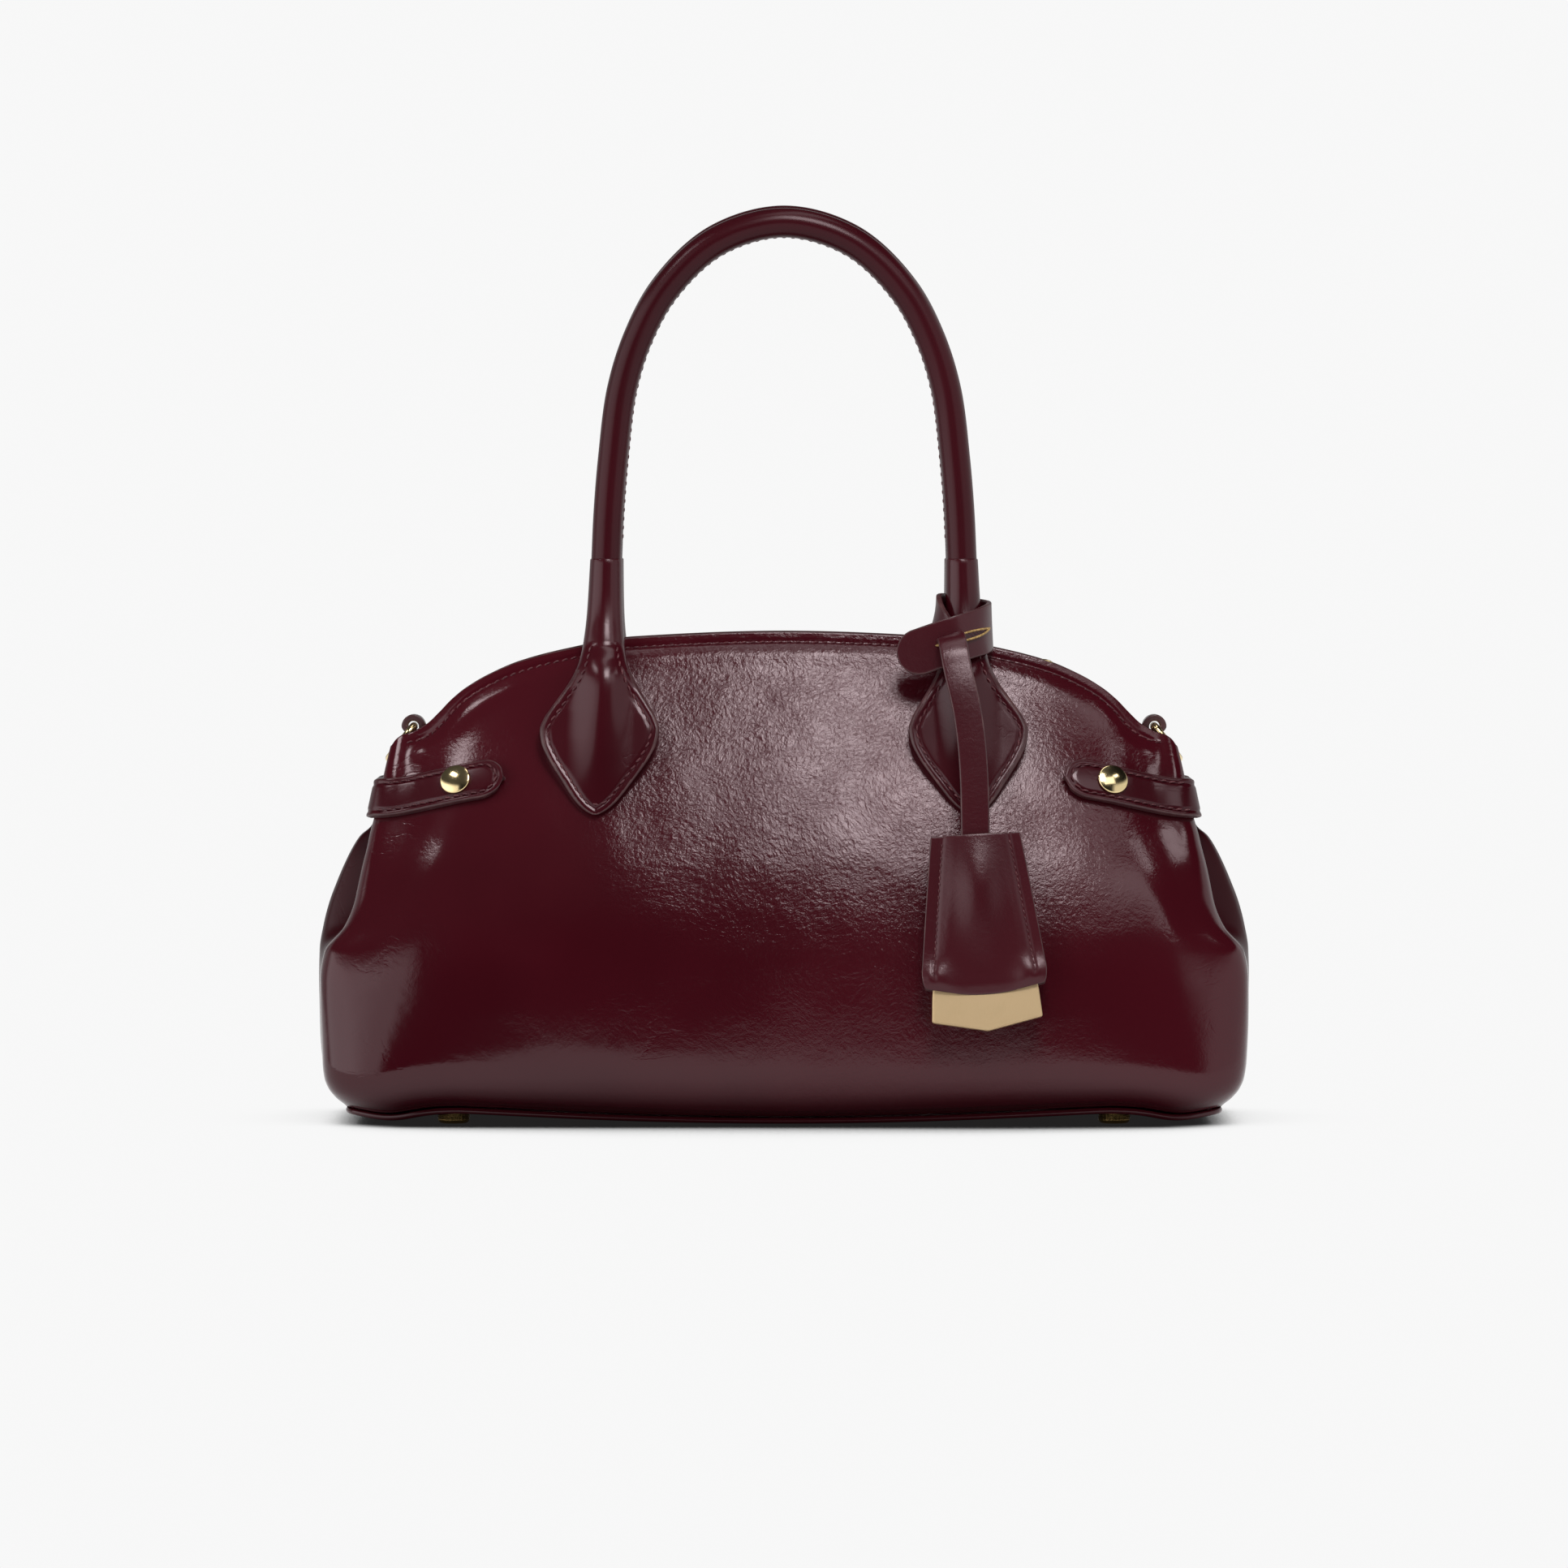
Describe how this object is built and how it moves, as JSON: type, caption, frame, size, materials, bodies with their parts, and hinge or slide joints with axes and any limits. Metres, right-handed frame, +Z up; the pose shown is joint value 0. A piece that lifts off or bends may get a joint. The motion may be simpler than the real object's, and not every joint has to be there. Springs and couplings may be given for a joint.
{
  "type": "satchel",
  "caption": "Soft burgundy leather satchel with a domed zip top, rolled handles, strapped pleated gussets, metal feet and a bell tag, for carrying things by hand.",
  "frame": {"origin": "on the surface that the bag stands on, under the middle of the whole bag with its tag", "axes": "+Z up, +X to the right as the front is seen, the front faces -Y"},
  "size_m": [0.3424, 0.1512, 0.337],
  "materials": {
    "leather": "glossy burgundy leather with a fine creased grain and tone-on-tone stitching",
    "gold": "polished pale gold plating",
    "satin_gold": "satin pale gold plating",
    "zip": "woven dark burgundy zip tape"
  },
  "bodies": {
    "bag": {"front_panel": "leather", "back_panel": "leather", "gusset_left": "leather", "gusset_right": "leather", "base_panel": "leather", "handle_front": "leather", "handle_back": "leather", "handle_end_front_left": "leather", "handle_end_front_right": "leather", "handle_end_back_left": "leather", "handle_end_back_right": "leather", "side_strap_left": "leather", "side_strap_right": "leather", "ring_tab_left": "leather", "ring_tab_right": "leather", "tag_knot": "leather", "tag_strap": "leather", "tag_bell": "leather", "stud_front_left": "gold", "stud_front_right": "gold", "stud_back_left": "gold", "stud_back_right": "gold", "foot_front_left": "gold", "foot_front_right": "gold", "foot_back_left": "gold", "foot_back_right": "gold", "zip_slider": "gold", "zip_tape": "zip", "tag_plate": "satin_gold"},
    "ring_left": {"ring_left": "gold"},
    "ring_right": {"ring_right": "gold"}
  },
  "joints": [
    {"name": "ring_left_swing", "type": "hinge", "parent": "bag", "child": "ring_left", "pos_m": [-0.1368, 0.0056, 0.1446], "axis": [0, 1, 0], "range_deg": [0, 130]},
    {"name": "ring_right_swing", "type": "hinge", "parent": "bag", "child": "ring_right", "pos_m": [0.1368, 0.0056, 0.1446], "axis": [0, -1, 0], "range_deg": [0, 130]}
  ]
}
